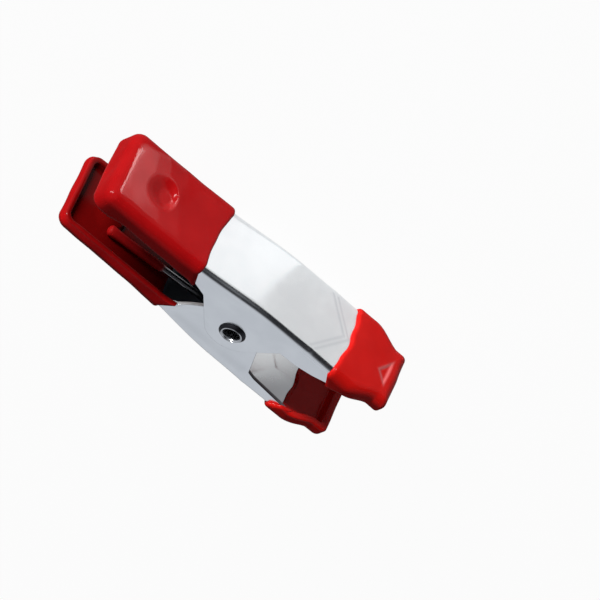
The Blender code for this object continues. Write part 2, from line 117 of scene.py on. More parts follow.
def webHeight(x, z):
    # Height of the web: a crowned curve, less a fall past the V crease with its bead, less the round dimple
    p = press
    run = p["jawReach"] - p["creaseApex"]
    knots = [(-p["handleReach"], p["handleWeb"]), (-p["swellX"], p["handleWeb"] + p["handleSwell"]),
             (0.0, p["shoulderHeight"]), (p["crownX"], p["crownHeight"]),
             (p["jawReach"], p["jawWeb"] + p["creaseFall"] * run)]
    past = pastCrease(x, z)
    fall = p["creaseFall"] * (past + np.sqrt(past ** 2 + p["creaseRound"] ** 2)) / 2
    fall -= p["creaseBead"] * np.exp(-(past / p["creaseBeadWidth"]) ** 2)
    return curveThrough(x, knots) - fall - p["dimpleDepth"] * ease(dishShare(x - p["dimpleX"], z))


def touchAngle(footX, footY, side):
    # Where a line from an ear's foot touches the ear's circle
    return math.atan2(footY, footX) + side * math.acos(press["earRadius"] / math.hypot(footX, footY))


def flangeEdge(x, z, rim):
    # Lower edge of the flanges: handle strip that rises at the end's corners, ear with straight flanks that
    # touch its circle, jaw strip
    p = press
    r = p["earRadius"]
    touch = [(r * math.cos(angle), r * math.sin(angle))
             for angle in (touchAngle(*rim["back"], 1), touchAngle(*rim["front"], -1))]
    edge = np.interp(x, *np.array([*rim["handle"], rim["back"], *touch, rim["front"], *rim["jaw"]]).T)
    nearEnd = ease((p["endRiseFrom"] - p["handleReach"] - x) / p["endRiseRun"])
    edge += rim["endRise"] * (z / flat) ** p["endRisePower"] * nearEnd
    lobe = -np.sqrt(np.clip(r * r - x * x, 0.0, None))
    return np.where((x > touch[0][0]) & (x < touch[1][0]), lobe, edge)


def flatHalf(x):
    # Half width of the flat web, drawn in smoothly at the neck
    return flat - press["neckIn"] * ease((x - press["neckStart"]) / (press["neckEnd"] - press["neckStart"]))


def stationsAlong(handleEnd, jawEnd, step):
    # X of each station and the half width of the flat web there, with round corners at closed ends
    p = press
    turn = np.linspace(0.0, math.pi / 2, p["cornerSteps"])
    lo = -p["handleReach"] + p["handleCorner"] if handleEnd is None else handleEnd
    hi = p["jawReach"] - p["jawCorner"] if jawEnd is None else jawEnd
    x = np.linspace(lo, hi, int((hi - lo) / step) + 2)
    inset = np.zeros_like(x)
    if handleEnd is None:
        x = np.concatenate([lo - p["handleCorner"] * np.cos(turn[:-1]), x])
        inset = np.concatenate([p["handleCorner"] * (1 - np.sin(turn[:-1])), inset])
    if jawEnd is None:
        x = np.concatenate([x, hi + p["jawCorner"] * np.cos(turn[-2::-1])])
        inset = np.concatenate([inset, p["jawCorner"] * (1 - np.sin(turn[-2::-1]))])
    return x, flatHalf(x) - inset


def outlineOf(rows, columns, closed):
    # Grid places round the web: along one side, across the handle end, back along the other side
    down, across = np.arange(rows - 1, -1, -1), np.arange(1, columns - 1)
    i = [down, 0 * across, down[::-1]]
    j = [0 * down + columns - 1, across[::-1], 0 * down]
    if closed:
        i.append(0 * across + rows - 1)
        j.append(across)
    return np.concatenate(i), np.concatenate(j)


def planNormals(points, closed):
    # Outward unit normals of a plan outline, each the mean of its two edges' normals
    step = np.roll(points, -1, axis=0) - points
    if not closed:
        step[-1] = step[-2]
    step /= np.linalg.norm(step, axis=1)[:, None]
    before = np.roll(step, 1, axis=0)
    if not closed:
        before[0] = step[0]
    both = step + before
    normal = np.stack([both[:, 1], -both[:, 0]], axis=1)
    normal /= np.linalg.norm(normal, axis=1)[:, None]
    return normal * np.sign(np.sum(normal * (points - points.mean(axis=0))))


def quadsOf(grid, wrap=False):
    # Quads between the neighbours of a grid of point numbers
    if wrap:
        grid = np.hstack([grid, grid[:, :1]])
    return np.stack([grid[:-1, :-1], grid[1:, :-1], grid[1:, 1:], grid[:-1, 1:]], axis=-1).reshape(-1, 4)


def channelSkin(x, half, rim, offset, drop, closed, wallSteps, shift=None, pocket=None):
    # One skin of the channel, a given offset outside the steel's outer face. The web is a grid of stations
    # and columns. Round its outline run hoops: a quarter circle of bend, then a wall that falls to the
    # flange edge, leaning out by the draft. Shift moves stations along X by column and by share of the wall,
    # and may press a dent into the web. Pocket moves the walls inwards.
    p = press
    across = np.linspace(-1.0, 1.0, p["columns"])
    offset = np.broadcast_to(offset, x.shape)
    gridX = np.broadcast_to(x[:, None], (len(x), len(across))).copy()
    if shift:
        gridX += shift["weight"][:, None] * shift["across"](across)[None, :]
    gridZ = half[:, None] * across[None, :]
    gridY = webHeight(gridX, gridZ)
    height = gridY + offset[:, None]
    if shift and "dent" in shift:
        height -= shift["dent"](gridX, gridZ)
    web = np.stack([gridX, height, gridZ], axis=2)

    i, j = outlineOf(len(x), len(across), closed)
    px, py, pz = gridX[i, j], gridY[i, j], gridZ[i, j]
    normal = planNormals(np.stack([x[i], pz], axis=1), closed)
    out = normal.copy()
    corner = x[i] < -p["handleReach"] + p["handleCorner"] + p["cornerReach"]
    corner |= x[i] > p["jawReach"] - p["jawCorner"] - p["cornerReach"]
    corner &= (j == 0) | (j == len(across) - 1)
    follow = np.where(px < 0, p["handleShare"], p["jawShare"])[corner, None]
    square = np.stack([np.sign(px), np.sign(pz)], axis=1)[corner]
    out[corner] = follow * normal[corner] + (1 - follow) * square
    radius = p["bend"] + offset[i]
    draft = np.tan(np.radians(np.where(px < 0, p["handleDraft"], p["jawDraft"])))

    turn = np.linspace(0.0, math.pi / 2, p["bendSteps"] + 1)[1:, None]
    bend = np.stack([px + out[:, 0] * radius * np.sin(turn), py - p["bend"] + radius * np.cos(turn),
                     pz + out[:, 1] * radius * np.sin(turn)], axis=2)
    share = np.linspace(0.0, 1.0, wallSteps + 1)[1:, None]
    slide = shift["weight"][i] * shift["wall"] if shift else 0.0
    top = py - p["bend"]
    fall = (top - flangeEdge(px + slide, pz, rim) + drop) * share
    wall = np.stack([px + out[:, 0] * radius + normal[:, 0] * draft * fall + slide * share, top - fall,
                     np.broadcast_to(pz + out[:, 1] * radius, fall.shape)], axis=2)
    hoops = np.concatenate([bend, wall])
    if pocket:
        hoops[..., 2] -= np.sign(hoops[..., 2]) * pocket(hoops[..., 0], hoops[..., 1])

    grid = np.arange(gridX.size).reshape(gridX.shape)
    ring = np.vstack([grid[i, j][None], gridX.size + np.arange(hoops[..., 0].size).reshape(hoops.shape[:2])])
    points = np.concatenate([web.reshape(-1, 3), hoops.reshape(-1, 3)])
    cut = np.concatenate([ring[::-1, 0], grid[-1, -2:0:-1], ring[:, -1]])
    return {"points": points, "web": quadsOf(grid), "ring": ring, "edge": ring[-1], "cut": cut,
            "stations": len(x), "removed": [], "patches": []}


def pierce(skin, rows, columns, radius, rings=5):
    # Takes a block of wall faces out and fills it with rings that run from its border to a circle round the
    # pivot axis. The skin keeps the new points and quads, and the circle's point numbers come back.
    ring, points = skin["ring"], skin["points"]
    (k0, k1), (c0, c1) = rows, columns
    border = np.concatenate([ring[k0, c0:c1], ring[k0:k1, c1], ring[k1, c1:c0:-1], ring[k1:k0:-1, c0]])
    at = points[border]
    angle = np.arctan2(at[:, 1], at[:, 0])
    circle = np.stack([radius * np.cos(angle), radius * np.sin(angle), at[:, 2]], axis=1)
    share = (np.arange(1, rings + 1) / rings)[:, None, None]
    added = (1 - share) * at[None] + share * circle[None]
    index = np.vstack([border[None], len(points) + np.arange(rings * len(border)).reshape(rings, -1)])
    skin["points"] = np.concatenate([points, added.reshape(-1, 3)])
    skin["removed"].append((k0, k1, c0, c1))
    skin["patches"].append(quadsOf(index, wrap=True))
    return index[-1]


def wallQuads(skin, closed):
    # Quads between the hoops, without the blocks that were pierced
    ring = skin["ring"]
    quads = quadsOf(ring, wrap=closed)
    keep = np.ones((ring.shape[0] - 1, ring.shape[1] if closed else ring.shape[1] - 1), bool)
    for k0, k1, c0, c1 in skin["removed"]:
        keep[k0:k1, c0:c1] = False
    return np.concatenate([quads[keep.ravel()]] + skin["patches"])


def edgeArc(outer, inner, depth, steps, power):
    # Closes the gap between two skins' edges on a half superellipse that hangs down by depth. Gives its
    # points and their share of the way across.
    turn = np.linspace(0.0, math.pi, steps)[1:-1, None, None]
    share = (1 - np.sign(np.cos(turn)) * np.abs(np.cos(turn)) ** power) / 2
    downward = np.array([0.0, -1.0, 0.0])
    return outer[None] * (1 - share) + inner[None] * share + depth * np.sin(turn) ** power * downward, share


def makeObject(name, points, faces, material, lower=False, sharp=40.0, marks=None):
    # A smooth shaded object in the frame's metres, mirrored for the lower half, with its faces pointing out
    # and its marks as point attributes
    points = points * [1.0, -1.0 if lower else 1.0, 1.0] * mm + pivot
    mesh = bpy.data.meshes.new(name)
    mesh.from_pydata(points.tolist(), [], faces)
    mesh.validate()
    bm = bmesh.new()
    bm.from_mesh(mesh)
    bmesh.ops.recalc_face_normals(bm, faces=bm.faces)
    bm.to_mesh(mesh)
    bm.free()
    mesh.shade_smooth()
    mesh.set_sharp_from_angle(angle=math.radians(sharp))
    mesh.materials.append(material)
    for key, values in (marks or {}).items():
        mesh.attributes.new(key, 'FLOAT', 'POINT').data.foreach_set("value", values.astype(np.float32))
    item = bpy.data.objects.new(name, mesh)
    bpy.context.scene.collection.objects.link(item)
    print(name, len(mesh.polygons), "faces")
    return item


class Sock:
    # A shader socket that can be added, subtracted and multiplied; node() makes any other node from it
    def __init__(self, tree, socket):
        self.tree = tree
        self.socket = socket

    def node(self, kind, settings=None, inputs=None, output=0):
        made = self.tree.nodes.new(kind)
        for key, value in (settings or {}).items():
            setattr(made, key, value)
        for key, value in (inputs or {}).items():
            if isinstance(value, Sock):
                self.tree.links.new(value.socket, made.inputs[key])
            else:
                made.inputs[key].default_value = value
        return Sock(self.tree, made.outputs[output])

    def calc(self, operation, first, second):
        return self.node("ShaderNodeMath", {"operation": operation}, {0: first, 1: second})

    def __add__(self, other):
        return self.calc("ADD", self, other)

    def __radd__(self, other):
        return self.calc("ADD", other, self)

    def __sub__(self, other):
        return self.calc("SUBTRACT", self, other)

    def __rsub__(self, other):
        return self.calc("SUBTRACT", other, self)

    def __mul__(self, other):
        return self.calc("MULTIPLY", self, other)

    def __rmul__(self, other):
        return self.calc("MULTIPLY", other, self)

    def swing(self, amount):
        # A noise about its middle, scaled
        return (self - 0.5) * amount

    def stretched(self, scale, turn=(0.0, 0.0, 0.0)):
        return self.node("ShaderNodeMapping", None, {"Vector": self, "Scale": scale, "Rotation": turn})

    def noise(self, scale, detail, roughness=0.5):
        return self.node("ShaderNodeTexNoise", None,
                         {"Vector": self, "Scale": scale, "Detail": detail, "Roughness": roughness})

    def ramp(self, low, high):
        return self.node("ShaderNodeMapRange", {"interpolation_type": 'SMOOTHSTEP'},
                         {"Value": self, "From Min": low, "From Max": high})

    def mixed(self, first, second):
        # From the first colour to the second; a Mix node's colours are its sockets 6 and 7 and its output 2
        ends = [end if isinstance(end, Sock) else (*end, 1.0) for end in (first, second)]
        return self.node("ShaderNodeMix", {"data_type": 'RGBA'}, {0: self, 6: ends[0], 7: ends[1]}, output=2)

    def mark(self, name):
        return self.node("ShaderNodeAttribute", {"attribute_name": name}, output="Fac")

    def bump(self, strength, distance, under=None):
        inputs = {"Height": self, "Strength": strength, "Distance": distance}
        if under:
            inputs["Normal"] = under
        return self.node("ShaderNodeBump", None, inputs)


def newMaterial(name, fixed):
    # An empty finish: its shader with the fixed values set, and the object coordinates
    material = bpy.data.materials.new(name)
    material.use_nodes = True
    tree = material.node_tree
    shader = tree.nodes["Principled BSDF"]
    for key, value in fixed.items():
        shader.inputs[key].default_value = value
    place = Sock(tree, tree.nodes.new("ShaderNodeTexCoord").outputs["Object"])

    def drive(key, value):
        tree.links.new(value.socket, shader.inputs[key])

    return material, place, drive


# Steel
steelLook = {
    "dark": (0.86, 0.885, 0.905), "light": (0.925, 0.95, 0.965), "cloudBand": (0.3, 0.7),
    # Besides the plating: a darker tone for edges, near black on the rivet as a painted dark reflection on
    # its lip's flank; a near white painted highlight for edges along the handle; painted shade for the inside
    # and for two lines beside the crease
    "darkTone": (0.12, 0.12, 0.13), "darkToneBand": (0.3, 0.9), "bright": (0.96, 0.965, 0.97), "brightDull": 0.8,
    "paintedShadeColour": (0.13, 0.14, 0.16), "creaseShadeColour": (0.62, 0.65, 0.69), "vinyl": (0.42, 0.005, 0.006), "vinylShine": 0.5,
    "roughness": 0.22, "cloudRough": 0.12, "lineRough": 0.10, "hairRough": 0.08, "darkToneRough": 0.15,
    "paintedShadeRough": 0.12, "vinylRough": 0.3,
    "cloudScale": 110.0, "lineScale": 1500.0, "lineStretch": (0.04, 1.0, 1.0), "grainScale": 2600.0,
    "hairScale": 420.0, "hairs": (((1.0, 0.03, 0.03), (0.3, 0.5, 0.9), (0.70, 0.74)),  # stretch, turn, band
                                  ((0.03, 1.0, 0.05), (0.7, 0.2, 0.4), (0.71, 0.75))),
    "waveScale": 55.0, "waveStrength": 0.10, "waveHeight": 0.0004,
    "grainStrength": 0.12, "grainHeight": 0.00005, "lineGrain": 0.6, "fineGrain": 0.4, "hairGrain": 0.5,
}
# The rivet: darker steel, with its darker tone near black, painted on the lip's flank as a dark reflection
rivetLook = dict(steelLook, dark=(0.50, 0.51, 0.53), light=(0.68, 0.69, 0.70), darkTone=(0.03, 0.03, 0.035))
springLook = dict(steelLook, dark=(0.22, 0.22, 0.23), light=(0.36, 0.36, 0.37), roughness=0.26,
                  vinylShine=0.12)


def steelFinish(name, spec):
    # Rolled sheet under bright plating: fine lines along X, cloudy plating, a few hair scratches. Marks on
    # the piece say where it is darker (edges, and a painted dark reflection on the rivet's flank), where
    # edges carry a painted highlight, where the inside carries painted shade, where it is dipped in vinyl,
    # and where two lines of painted shade run beside the crease.
    material, place, drive = newMaterial(name, {"Specular IOR Level": spec["vinylShine"]})
    cloud = place.noise(spec["cloudScale"], detail=4.0, roughness=0.55)
    lines = place.stretched(spec["lineStretch"]).noise(spec["lineScale"], detail=2.0, roughness=0.6)
    fine = place.noise(spec["grainScale"], detail=2.0, roughness=0.6)
    hairA, hairB = (place.stretched(stretch, turn).noise(spec["hairScale"], detail=1.0).ramp(*band)
                    for stretch, turn, band in spec["hairs"])
    hair = hairA + hairB
    # The marks in turn: darker edges and the rivet's painted dark reflection, a painted highlight on edges,
    # painted shade inside, dipped vinyl, painted shade beside the crease
    marks = ("darkened", "edgeHighlight", "inside", "dipped", "creaseShade")
    cut, edgeHighlight, inside, dipped, creaseShade = (place.mark(key) for key in marks)
    plate = cloud.ramp(*spec["cloudBand"]).mixed(spec["dark"], spec["light"])
    plate = creaseShade.mixed(plate, spec["creaseShadeColour"])
    plate = inside.mixed(plate, spec["paintedShadeColour"])
    plate = cut.ramp(*spec["darkToneBand"]).mixed(plate, spec["darkTone"])
    # The painted highlight: edges turned near white and less metallic
    plate = edgeHighlight.mixed(plate, spec["bright"])
    drive("Base Color", dipped.mixed(plate, spec["vinyl"]))
    drive("Metallic", 1.0 - edgeHighlight * spec["brightDull"] - dipped)
    drive("Roughness", spec["roughness"] + cloud.swing(spec["cloudRough"]) + lines.swing(spec["lineRough"])
          + hair * spec["hairRough"] + cut * spec["darkToneRough"] + inside * spec["paintedShadeRough"]
          + dipped * spec["vinylRough"])
    wave = place.noise(spec["waveScale"], detail=1.0).bump(spec["waveStrength"], spec["waveHeight"])
    grain = lines * spec["lineGrain"] + fine * spec["fineGrain"] - hair * spec["hairGrain"]
    drive("Normal", grain.bump(spec["grainStrength"], spec["grainHeight"], wave))
    return material


# Vinyl
gripLook = {
    "dark": (0.33, 0.003, 0.004), "light": (0.40, 0.005, 0.006), "cloudBand": (0.25, 0.75),
    # Besides the vinyl: a pale painted highlight for the dent's outline on the tips, and painted shade for
    # the inside of the grips
    "paintedHighlightColour": (0.80, 0.22, 0.22), "shade": (0.14, 0.002, 0.002),
    "ior": 1.5, "bodyShine": 0.0, "skin": 0.20, "cloudSkin": 0.10, "dustSkin": 0.15, "skinRoughness": 0.14,
    "roughness": 0.30, "peelRough": 0.06, "cloudRough": 0.10, "dustRough": 0.25,
    "cloudScale": 70.0, "peelScale": 900.0, "sagScale": 90.0, "dustScale": 1400.0, "dustBand": (0.76, 0.80),
    "sagStrength": 0.10, "sagHeight": 0.0006, "peelStrength": 0.10, "peelHeight": 0.00006, "dustLift": 0.4,
}
# The tips: a lighter copy of the grips' vinyl, the extra lightness painted light
tipLook = dict(gripLook, dark=(0.56, 0.007, 0.005), light=(0.64, 0.011, 0.009))


def vinylFinish(name, spec):
    # Dipped vinyl under a thin glossy skin: rich dark colour that varies a little, orange peel, soft sags, a
    # little dust. Marks on the piece say where painted shade darkens the inside, where a painted highlight
    # runs round the dent's outline, and how much gloss it has.
    material, place, drive = newMaterial(name, {"IOR": spec["ior"], "Specular IOR Level": spec["bodyShine"],
                                                "Coat IOR": spec["ior"],
                                                "Coat Roughness": spec["skinRoughness"]})
    cloud = place.noise(spec["cloudScale"], detail=3.0)
    peel = place.noise(spec["peelScale"], detail=2.0, roughness=0.45)
    sag = place.noise(spec["sagScale"], detail=1.0)
    dust = place.noise(spec["dustScale"], detail=1.0).ramp(*spec["dustBand"])
    body = cloud.ramp(*spec["cloudBand"]).mixed(spec["dark"], spec["light"])
    # Painted shade inside the grips
    body = place.mark("paintedInnerShade").mixed(body, spec["shade"])
    # A painted highlight on the dent's outline
    drive("Base Color", place.mark("paintedHighlight").mixed(body, spec["paintedHighlightColour"]))
    drive("Roughness", spec["roughness"] + peel.swing(spec["peelRough"]) + cloud.swing(spec["cloudRough"])
          + dust * spec["dustRough"])
    skin = spec["skin"] + cloud.swing(spec["cloudSkin"]) - dust * spec["dustSkin"]
    drive("Coat Weight", skin * place.mark("sheen"))
    soft = sag.bump(spec["sagStrength"], spec["sagHeight"])
    drive("Normal", (peel + dust * spec["dustLift"]).bump(spec["peelStrength"], spec["peelHeight"], soft))
    return material


plated = steelFinish("platedSteel", steelLook)
gripRed = vinylFinish("gripVinyl", gripLook)
tipRed = vinylFinish("tipVinyl", tipLook)
rivetSteel = steelFinish("rivetSteel", rivetLook)
springSteel = steelFinish("springSteel", springLook)
print("finishes made")

# Levers
leverLook = {
    "step": 0.42, "wallSteps": 30, "holeRadius": 3.2,
    "holeBlock": (5.0, 5.2),  # half length and half height of the faces taken out round a hole
    "edgeRound": 0.2, "edgePower": 0.5,
    "edgeDarkTone": (1.0, 0.5, 0.0, 0.0, 0.0, 0.0),  # from the outer face inwards
    # Edges carry a painted highlight on the handle side of this X
    "edgeHighlightTo": 8.0, "edgeHighlightRun": 2.0,
    "pocketDepth": 1.4, "pocketRise": 4.4, "pocketRun": 6.0, "pocketBack": 12.4, "pocketFront": 11.6,
    "pocketRamp": 0.6, "earClear": 0.6,
    # Two lines of painted shade beside the crease on the outer web
    "creaseShadeStrength": 0.5, "creaseShadeAside": 0.9, "creaseShadeWidth": 0.45,
    # Painted shade inside: round the spring between two X, then deepening towards the jaw's end
    "paintedShadeFrom": -36.0, "paintedShadeFromRun": 8.0, "paintedShadeTo": 13.0, "paintedShadeToRun": 4.0,
    "jawFrom": 11.0, "jawRun": 3.0, "jawHaze": 0.04, "jawPaintedShade": 0.6,
    "jawPaintedShadeSlant": 0.9, "jawPaintedShadeFrom": 17.0, "jawPaintedShadeRun": 16.0,
}


def pocketOf(x, y):
    # How far a nested flange steps inwards, so that the other lever's ear lies flush outside it
    s = leverLook
    back = ease((x + s["pocketBack"] + s["pocketRun"]) / s["pocketRun"])
    front = ease((s["pocketFront"] + s["pocketRun"] - x) / s["pocketRun"])
    rise = np.clip((press["earRadius"] + s["earClear"] + s["pocketRise"] - y) / s["pocketRise"], 0.0, 1.0)
    return s["pocketDepth"] * back * front * (s["pocketRamp"] * rise + (1 - s["pocketRamp"]) * ease(rise))


def paintedShadeOf(x, z):
    # Painted shade inside: full round the spring, then a haze that deepens slantwise towards the jaw's end
    s = leverLook
    nearSpring = ease((x - s["paintedShadeFrom"]) / s["paintedShadeFromRun"]) * ease((s["paintedShadeTo"] - x) / s["paintedShadeToRun"])
    deeper = ease((x + s["jawPaintedShadeSlant"] * z - s["jawPaintedShadeFrom"]) / s["jawPaintedShadeRun"])
    return nearSpring + ease((x - s["jawFrom"]) / s["jawRun"]) * (s["jawHaze"] + s["jawPaintedShade"] * deeper)


def makeLever(name, lower):
    # Outer and inner skins of the channel, joined round the two pivot holes and along the sheared edge
    s = leverLook
    x, half = stationsAlong(None, None, s["step"])
    along, upright = s["holeBlock"]
    first, last = np.searchsorted(x, [-along, along])
    parts, faces, circles, count = [], [], [], 0
    for offset in (0.0, -press["sheet"]):
        skin = channelSkin(x, half, rims["lower" if lower else "upper"], offset, -s["edgeRound"], True,
                           s["wallSteps"], pocket=pocketOf if lower else None)
        n, middle = skin["stations"], press["columns"] - 2
        heights = skin["points"][skin["ring"][:, n + middle + (first + last) // 2], 1]
        rows = np.searchsorted(-heights, [-upright, upright])
        loops = [pierce(skin, rows, (start, start + last - first), s["holeRadius"])
                 for start in (n - 1 - last, n + middle + first)]
        faces += [skin["web"] + count, wallQuads(skin, True) + count]
        circles.append([loop + count for loop in loops])
        parts.append((skin["points"], skin["edge"] + count))
        count += len(skin["points"])
    for a, b in zip(*circles):
        faces.append(quadsOf(np.vstack([a, b]), wrap=True))
    points = np.concatenate([part[0] for part in parts])
    outerEdge, innerEdge = (part[1] for part in parts)
    darkTone = np.array(s["edgeDarkTone"])[:, None]
    arc = edgeArc(points[outerEdge], points[innerEdge], s["edgeRound"], len(darkTone) + 2, s["edgePower"])[0]
    index = count + np.arange(arc[..., 0].size).reshape(arc.shape[:2])
    faces.append(quadsOf(np.vstack([outerEdge[None], index, innerEdge[None]]), wrap=True))
    points = np.concatenate([points, arc.reshape(-1, 3)])
    # Marks for the finish: darker edges along the jaw and at the outer corner, edges with a painted highlight
    # along the handle, painted shade inside, and two lines of painted shade beside the crease on the outer
    # web
    marks = {key: np.zeros(len(points)) for key in ("darkened", "edgeHighlight", "inside", "creaseShade")}
    handleSide = ease((s["edgeHighlightTo"] - arc[..., 0]) / s["edgeHighlightRun"])
    marks["darkened"][index] = np.maximum(1 - handleSide, darkTone)
    marks["edgeHighlight"][index] = handleSide * (1 - darkTone)
    # Painted shade on the inner skin
    inner = slice(len(parts[0][0]), count)
    marks["inside"][inner] = paintedShadeOf(points[inner, 0], points[inner, 2])
    # Painted shade in two lines beside the crease
    web = slice(0, len(x) * press["columns"])
    aside = np.abs(pastCrease(points[web, 0], points[web, 2])) - s["creaseShadeAside"]
    marks["creaseShade"][web] = s["creaseShadeStrength"] * np.exp(-(aside / s["creaseShadeWidth"]) ** 2)
    return makeObject(name, points, np.concatenate(faces).tolist(), plated, lower, marks=marks)


for name, lower in (("upperLever", False), ("lowerLever", True)):
    item = makeLever(name, lower)
    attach(item, "lower_half" if lower else "upper_half")
    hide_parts("lower_lever" if lower else "upper_lever")
print("levers made")

# Dipped vinyl. The lip stations are distances from the lip, and replace the last few regular stations.
coatLook = {
    "thick": 1.14, "inside": 0.7, "slot": 0.02, "step": 0.36, "wallSteps": 14,
    "edge": {"upperGrip": -21.4, "lowerGrip": -17.6, "upperJawTip": 24.6, "lowerJawTip": 25.6},
    "taper": {"upperGrip": (0.1, 0.85), "lowerGrip": (0.6, 0.85),
              "upperJawTip": (0.15, 0.75), "lowerJawTip": (0.15, 0.75)},
    "taperAtBend": 0.3, "seed": {"upper": 0.4, "lower": 1.3},
    "lip": 0.10, "lipRun": 1.5, "lipStations": (1.3, 0.95, 0.65, 0.4, 0.2, 0.08), "lipSkip": 5,
    "roll": 0.10, "rollFrom": 0.5, "rollWidth": 0.45,
    "dipRun": 7.0, "dipWaves": 7,
    "gripDip": {"bow": -1.0, "tilt": -0.5, "slant": 2.6, "wave": 0.10, "inside": 0.0},
    "tipDip": {"bow": 1.0, "tilt": 0.0, "slant": 2.8, "wave": 0.32, "inside": 4.4},
    "edgeDrop": 0.3, "bead": 0.7, "beadSteps": 12, "beadPower": 0.8, "beadStart": 0.35, "beadRun": 4.0,
    "sag": 0.06, "sagRun": 4.0, "sagLate": 0.3,
    "sagWaves": ((0, 1.0, (0.0, 0.8, 0.62), 1.0),  # axis, share, pitch, phase
                 (1, 0.6, (0.33, 0.0, 0.7), 1.0), (1, 0.4, (0.81, 0.0, -0.5), 2.0),
                 (2, 1.0, (0.41, 0.6, 0.0), 1.7)),
    "wallSheen": 0.3, "sheenAt": (0.14, 0.36, 0.92, 1.0), "shadeCurve": 0.35,
    "dentCorners": ((36.8, 1.3), (40.0, -2.9), (39.8, 3.9)), "dentDepth": 0.35, "dentSlope": 0.8,
    # The dent's outline carries a painted highlight
    "dentPaintedHighlight": 0.7, "paintedHighlightWidth": 0.4,
}


def dentInside(x, z):
    # Distance inside the nearest side of the pressed triangle, negative outside it
    a, b, c = (np.array(corner) for corner in coatLook["dentCorners"])
    inside = np.full(np.shape(x), np.inf)
    for start, end in ((a, b), (b, c), (c, a)):
        side = (end - start) / np.hypot(*(end - start))
        centre = (a + b + c) / 3 - start
        sign = np.sign(side[0] * centre[1] - side[1] * centre[0])
        inside = np.minimum(inside, sign * (side[0] * (z - start[1]) - side[1] * (x - start[0])))
    return inside


def dentOf(x, z):
    # Depth of the pressed triangle, with smooth flanks half in and half outside its sides
    return coatLook["dentDepth"] * ease(dentInside(x, z) / coatLook["dentSlope"] + 0.5)


def sagOf(points, edgeX, seed):
    # Soft sags of the dip: slow waves along each axis, none at the lip
    s = coatLook
    waves = np.zeros_like(points)
    for axis, share, pitch, phase in s["sagWaves"]:
        waves[:, axis] += share * np.sin(points @ np.array(pitch) + phase * seed)
    return s["sag"] * ease(np.abs(points[:, 0] - edgeX) / s["sagRun"] - s["sagLate"])[:, None] * waves


def coatStations(edgeX, handle):
    # Stations from the closed end to the lip, closer to each other there
    s = coatLook
    if handle:
        x, half = stationsAlong(None, edgeX, s["step"])
    else:
        x, half = (values[::-1] for values in stationsAlong(edgeX, None, s["step"]))
    close = edgeX + np.array(s["lipStations"]) * (-1 if handle else 1)
    x = np.concatenate([x[:-s["lipSkip"]], close, x[-1:]])
    return x, np.concatenate([half[:-s["lipSkip"]], flatHalf(close), half[-1:]])


def coatSkins(name, rim, seed, handle):
    # Outer skin, inner skin and the two faces of the slot between them. The vinyl rises from a thin lip on a
    # quarter circle with a slight roll, starts on a wavy line, and thins over bend and wall towards the rim.
    s = coatLook
    edgeX = s["edge"][name]
    x, half = coatStations(edgeX, handle)
    fromEdge = np.abs(x - edgeX)
    grown = np.sqrt(1 - np.clip(1 - fromEdge / s["lipRun"], 0.0, 1.0) ** 2)
    roll = s["roll"] * np.exp(-((fromEdge - s["rollFrom"]) / s["rollWidth"]) ** 2)
    thick = s["lip"] + (s["thick"] - s["lip"]) * grown + roll
    thin = s["lip"] + (s["inside"] - s["lip"]) * grown
    dip = s["gripDip"] if handle else s["tipDip"]

    def dipLine(a):
        return (dip["bow"] + dip["wave"] * np.sin(s["dipWaves"] * a + seed)) * (1 - a * a) + dip["tilt"] * a

    def innerLine(a):
        return dipLine(a) + dip["inside"]

    shift = {"weight": 1 - ease(fromEdge / s["dipRun"]), "wall": dip["slant"], "across": dipLine}
    outerShift = shift if handle else dict(shift, dent=dentOf)
    innerShift = dict(shift, across=innerLine)
    plan = [(thick, s["edgeDrop"], outerShift), (-press["sheet"] - thin, s["edgeDrop"], innerShift),
            (s["slot"], s["slot"], shift), (-press["sheet"] - s["slot"], s["slot"], innerShift)]
    skins = [channelSkin(x, half, rim, offset, drop, False, s["wallSteps"], shift=moved)
             for offset, drop, moved in plan]
    hoops = skins[0]["ring"][1:]
    row = np.arange(1, len(hoops) + 1)
    thinner = np.interp(row, [0, press["bendSteps"], len(hoops)], [0.0, s["taperAtBend"], 1.0])[:, None, None]
    for skin, core, taper in zip(skins[:2], skins[2:], s["taper"][name]):
        skin["points"][hoops] += taper * thinner * (core["points"][hoops] - skin["points"][hoops])
    skins[0]["points"] += sagOf(skins[0]["points"], edgeX, seed)
    return skins


